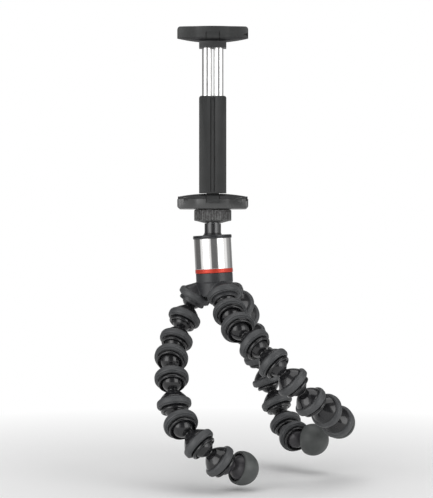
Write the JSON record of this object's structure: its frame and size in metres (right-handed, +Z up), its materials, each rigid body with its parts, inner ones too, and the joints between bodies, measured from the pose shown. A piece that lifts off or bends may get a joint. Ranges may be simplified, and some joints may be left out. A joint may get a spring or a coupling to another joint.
{
  "type": "phone tripod",
  "caption": "Phone tripod: bendable legs of ball-and-socket links with rubber rings, curled to grip a bar, below a small ball head and a sprung phone clamp on steel guide tubes.",
  "frame": {"origin": "the middle of the bar that the legs grip, straight below the ball head", "axes": "+Z up through the ball head and the clamp, +X to the right and +Y away from the side where the clamp's spine is"},
  "size_m": [0.0955, 0.105, 0.2135],
  "materials": {
    "black_nylon": "black glass-filled nylon, semi-gloss",
    "link_plastic": "polished black nylon, with a moulded dark grey rubber ring on each link",
    "grip_rubber": "dark grey rubber, satin",
    "foot_rubber": "grey rubber, matt",
    "foot_plastic": "dark nylon, satin",
    "red_anodised": "red anodised, satin",
    "polished_steel": "polished steel",
    "plain_steel": "plain ground steel",
    "cup_brass": "turned brass",
    "black_ball": "black anodised, glossy",
    "charcoal_plastic": "charcoal moulded plastic with a fine grain",
    "pad_rubber": "soft black rubber, matt"
  },
  "bodies": {
    "hub": {"hub_body": "black_nylon", "hub_grip_rings": "grip_rubber", "accent_ring": "red_anodised", "head_sleeve": "polished_steel", "top_collar": "black_nylon", "disc_springs": "plain_steel"},
    "head_cup": {"ball_cup": "cup_brass"},
    "head_ball": {"ball_stem": "black_ball", "camera_stud": "plain_steel"},
    "wheel": {"lock_wheel": "charcoal_plastic"},
    "clamp_foot": {"bottom_jaw": "charcoal_plastic", "bottom_pad": "pad_rubber", "thread_insert": "cup_brass", "bottom_hinge_pin": "plain_steel"},
    "clamp_spine": {"spine_rear_shell": "charcoal_plastic", "spine_front_shell": "charcoal_plastic", "spine_screws": "plain_steel", "spine_spring_pin": "plain_steel", "clamp_springs": "plain_steel"},
    "clamp_slider": {"slider_block": "charcoal_plastic", "guide_tubes": "polished_steel", "slider_spring_pin": "plain_steel", "top_hinge_pin": "plain_steel"},
    "clamp_top": {"top_jaw": "charcoal_plastic", "top_pad": "pad_rubber"},
    "left_link_2": {"left_link_2": "link_plastic"},
    "left_link_3": {"left_link_3": "link_plastic"},
    "left_link_4": {"left_link_4": "link_plastic"},
    "left_link_5": {"left_link_5": "link_plastic"},
    "left_link_6": {"left_link_6": "link_plastic"},
    "left_link_7": {"left_link_7": "link_plastic"},
    "left_link_8": {"left_link_8": "link_plastic"},
    "left_link_9": {"left_link_9": "link_plastic"},
    "left_foot": {"left_foot_core": "foot_plastic", "left_foot_pad": "foot_rubber"},
    "right_link_2": {"right_link_2": "link_plastic"},
    "right_link_3": {"right_link_3": "link_plastic"},
    "right_link_4": {"right_link_4": "link_plastic"},
    "right_link_5": {"right_link_5": "link_plastic"},
    "right_link_6": {"right_link_6": "link_plastic"},
    "right_link_7": {"right_link_7": "link_plastic"},
    "right_link_8": {"right_link_8": "link_plastic"},
    "right_link_9": {"right_link_9": "link_plastic"},
    "right_foot": {"right_foot_core": "foot_plastic", "right_foot_pad": "foot_rubber"},
    "rear_link_2": {"rear_link_2": "link_plastic"},
    "rear_link_3": {"rear_link_3": "link_plastic"},
    "rear_link_4": {"rear_link_4": "link_plastic"},
    "rear_link_5": {"rear_link_5": "link_plastic"},
    "rear_link_6": {"rear_link_6": "link_plastic"},
    "rear_link_7": {"rear_link_7": "link_plastic"},
    "rear_link_8": {"rear_link_8": "link_plastic"},
    "rear_link_9": {"rear_link_9": "link_plastic"},
    "rear_foot": {"rear_foot_core": "foot_plastic", "rear_foot_pad": "foot_rubber"}
  },
  "joints": [
    {"name": "head_pan", "type": "hinge", "parent": "hub", "child": "head_cup", "pos_m": [0, 0, 0.0776], "axis": [-0.0523, 0, 0.9986], "continuous": true},
    {"name": "head_tilt", "type": "hinge", "parent": "head_cup", "child": "head_ball", "pos_m": [0, 0, 0.0776], "axis": [0, 1, 0], "range_deg": [-23, 17]},
    {"name": "lock_wheel_turn", "type": "hinge", "parent": "head_ball", "child": "wheel", "pos_m": [0, 0, 0.0918], "axis": [0, 0, 1], "range_deg": [0, 360]},
    {"name": "clamp_turn", "type": "hinge", "parent": "head_ball", "child": "clamp_foot", "pos_m": [0, 0, 0.0953], "axis": [0, 0, 1], "range_deg": [-180, 180]},
    {"name": "clamp_fold", "type": "hinge", "parent": "clamp_foot", "child": "clamp_spine", "pos_m": [0, -0.009, 0.0994], "axis": [1, 0, 0], "range_deg": [0, 90]},
    {"name": "clamp_slide", "type": "slide", "parent": "clamp_spine", "child": "clamp_slider", "axis": [0, 0, 1], "range_m": [-0.022, 0.013], "deforming": ["clamp_springs"]},
    {"name": "top_jaw_fold", "type": "hinge", "parent": "clamp_slider", "child": "clamp_top", "pos_m": [0, -0.009, 0.1784], "axis": [1, 0, 0], "range_deg": [0, 90]},
    {"name": "left_bend_2", "type": "hinge", "parent": "hub", "child": "left_link_2", "pos_m": [-0.00958, 0.00134, 0.05176], "axis": [-0.8717, -0.1426, 0.4688], "range_deg": [-65, 5]},
    {"name": "left_bend_3", "type": "hinge", "parent": "left_link_2", "child": "left_link_3", "pos_m": [-0.01434, -0.00433, 0.0412], "axis": [0.7804, 0.3325, -0.5296], "range_deg": [-25, 45]},
    {"name": "left_bend_4", "type": "hinge", "parent": "left_link_3", "child": "left_link_4", "pos_m": [-0.01784, -0.01184, 0.03131], "axis": [-0.8917, -0.1472, 0.4281], "range_deg": [-50, 15]},
    {"name": "left_bend_5", "type": "hinge", "parent": "left_link_4", "child": "left_link_5", "pos_m": [-0.01967, -0.02225, 0.02392], "axis": [-0.6351, 0.5188, -0.5722], "range_deg": [-20, 50]},
    {"name": "left_bend_6", "type": "hinge", "parent": "left_link_5", "child": "left_link_6", "pos_m": [-0.01888, -0.03134, 0.01479], "axis": [0.9874, -0.0607, 0.1465], "range_deg": [-55, 15]},
    {"name": "left_bend_7", "type": "hinge", "parent": "left_link_6", "child": "left_link_7", "pos_m": [-0.01747, -0.0366, 0.0031], "axis": [0.9228, 0.3806, -0.0601], "range_deg": [-5, 65]},
    {"name": "left_bend_8", "type": "hinge", "parent": "left_link_7", "child": "left_link_8", "pos_m": [-0.01385, -0.04653, -0.0043], "axis": [0.5301, -0.3741, 0.761], "range_deg": [-70, 0]},
    {"name": "left_bend_9", "type": "hinge", "parent": "left_link_8", "child": "left_link_9", "pos_m": [-0.0049, -0.05071, -0.01259], "axis": [-0.6635, 0.0581, -0.7459], "range_deg": [-5, 65]},
    {"name": "left_bend_foot", "type": "hinge", "parent": "left_link_9", "child": "left_foot", "pos_m": [0.00465, -0.04815, -0.02088], "axis": [0.5479, -0.732, 0.4049], "range_deg": [-60, 5]},
    {"name": "right_bend_2", "type": "hinge", "parent": "hub", "child": "right_link_2", "pos_m": [0.00562, -0.01013, 0.05256], "axis": [-0.9668, -0.0841, -0.2414], "range_deg": [-7.5, 10]},
    {"name": "right_bend_3", "type": "hinge", "parent": "right_link_2", "child": "right_link_3", "pos_m": [0.00835, -0.02033, 0.04516], "axis": [0.6249, 0.561, -0.543], "range_deg": [-25, 12.5]},
    {"name": "right_bend_4", "type": "hinge", "parent": "right_link_3", "child": "right_link_4", "pos_m": [0.01217, -0.03083, 0.03871], "axis": [0.4694, -0.3319, 0.8182], "range_deg": [-60, 10]},
    {"name": "right_bend_5", "type": "hinge", "parent": "right_link_4", "child": "right_link_5", "pos_m": [0.02027, -0.03762, 0.03131], "axis": [-0.7296, -0.1403, -0.6694], "range_deg": [-25, 45]},
    {"name": "right_bend_6", "type": "hinge", "parent": "right_link_5", "child": "right_link_6", "pos_m": [0.02882, -0.04256, 0.02302], "axis": [0.708, 0.0435, 0.7048], "range_deg": [-65, 5]},
    {"name": "right_bend_7", "type": "hinge", "parent": "right_link_6", "child": "right_link_7", "pos_m": [0.03781, -0.04098, 0.0139], "axis": [-0.6773, -0.2135, -0.7041], "range_deg": [-25, 45]},
    {"name": "right_bend_8", "type": "hinge", "parent": "right_link_7", "child": "right_link_8", "pos_m": [0.04608, -0.03712, 0.00478], "axis": [0.7586, -0.3877, 0.5237], "range_deg": [-65, 0]},
    {"name": "right_bend_9", "type": "hinge", "parent": "right_link_8", "child": "right_link_9", "pos_m": [0.05387, -0.02784, 0.00036], "axis": [0.4436, -0.6602, -0.6061], "range_deg": [-20, 45]},
    {"name": "right_bend_foot", "type": "hinge", "parent": "right_link_9", "child": "right_foot", "pos_m": [0.05945, -0.01816, -0.00609], "axis": [0.7633, -0.01, 0.646], "range_deg": [-70, 0]},
    {"name": "rear_bend_2", "type": "hinge", "parent": "hub", "child": "rear_link_2", "pos_m": [0.00793, 0.00878, 0.05268], "axis": [0.8905, -0.4198, 0.1752], "range_deg": [-42.5, 0]},
    {"name": "rear_bend_3", "type": "hinge", "parent": "rear_link_2", "child": "rear_link_3", "pos_m": [0.01378, 0.01891, 0.04723], "axis": [-0.1464, -0.4021, -0.9038], "range_deg": [-15, 7.5]},
    {"name": "rear_bend_4", "type": "hinge", "parent": "rear_link_3", "child": "rear_link_4", "pos_m": [0.01581, 0.03042, 0.04178], "axis": [-0.9464, 0.014, -0.3228], "range_deg": [-65, 0]},
    {"name": "rear_bend_5", "type": "hinge", "parent": "rear_link_4", "child": "rear_link_5", "pos_m": [0.01951, 0.03683, 0.03121], "axis": [0.9083, 0.1308, 0.3973], "range_deg": [-7.5, 50]},
    {"name": "rear_bend_6", "type": "hinge", "parent": "rear_link_5", "child": "rear_link_6", "pos_m": [0.02423, 0.03956, 0.01952], "axis": [-0.9289, 0.1423, -0.3419], "range_deg": [-50, 20]},
    {"name": "rear_bend_7", "type": "hinge", "parent": "rear_link_6", "child": "rear_link_7", "pos_m": [0.02858, 0.03879, 0.0074], "axis": [0.9354, 0.135, 0.3268], "range_deg": [-15, 50]},
    {"name": "rear_bend_8", "type": "hinge", "parent": "rear_link_7", "child": "rear_link_8", "pos_m": [0.03314, 0.03423, -0.00377], "axis": [-0.9293, -0.0268, -0.3684], "range_deg": [-55, 15]},
    {"name": "rear_bend_9", "type": "hinge", "parent": "rear_link_8", "child": "rear_link_9", "pos_m": [0.03699, 0.02596, -0.0129], "axis": [0.9467, 0.2922, 0.1353], "range_deg": [-10, 60]},
    {"name": "rear_bend_foot", "type": "hinge", "parent": "rear_link_9", "child": "rear_foot", "pos_m": [0.04114, 0.01457, -0.01731], "axis": [-0.3783, -0.4508, 0.8085], "range_deg": [-70, 0]}
  ]
}
